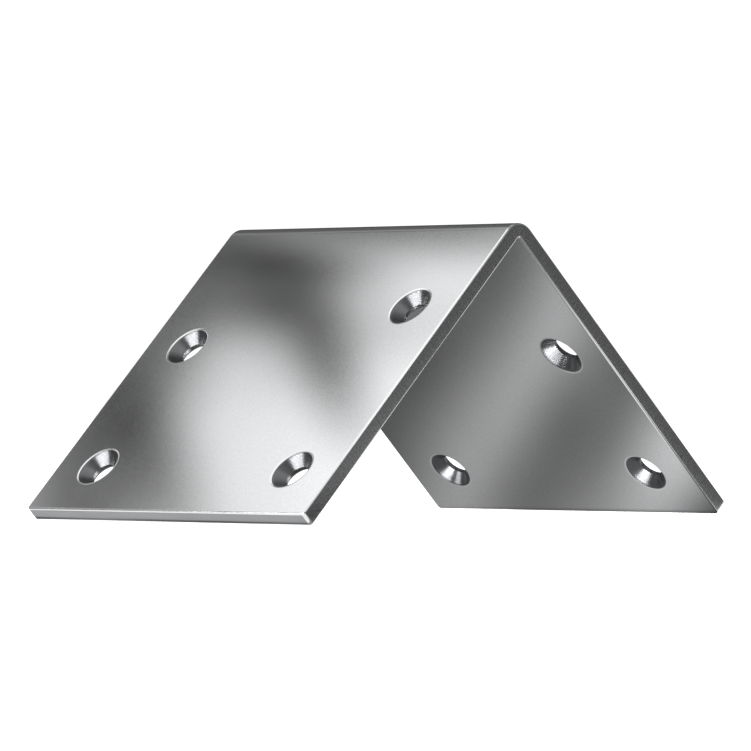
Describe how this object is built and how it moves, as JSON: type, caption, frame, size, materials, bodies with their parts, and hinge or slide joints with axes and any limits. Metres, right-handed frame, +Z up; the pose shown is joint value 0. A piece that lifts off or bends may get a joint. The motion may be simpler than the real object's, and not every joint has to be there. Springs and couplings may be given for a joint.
{
  "type": "wide angle bracket",
  "caption": "Wide right-angle bracket folded from a square steel sheet, with staggered countersunk screw holes in each wing.",
  "frame": {"origin": "middle of the ground that the bracket covers when it stands on its two feet", "axes": "+Z up through the fold, +Y along the fold towards the far end, +X across the feet towards the wing that is countersunk on its inner face"},
  "size_m": [0.1128, 0.08, 0.0568],
  "materials": {
    "steel": "bright zinc-plated steel, smooth and softly reflecting, with darker cut edges"
  },
  "bodies": {
    "root": {"angle_bracket": "steel"}
  },
  "joints": []
}
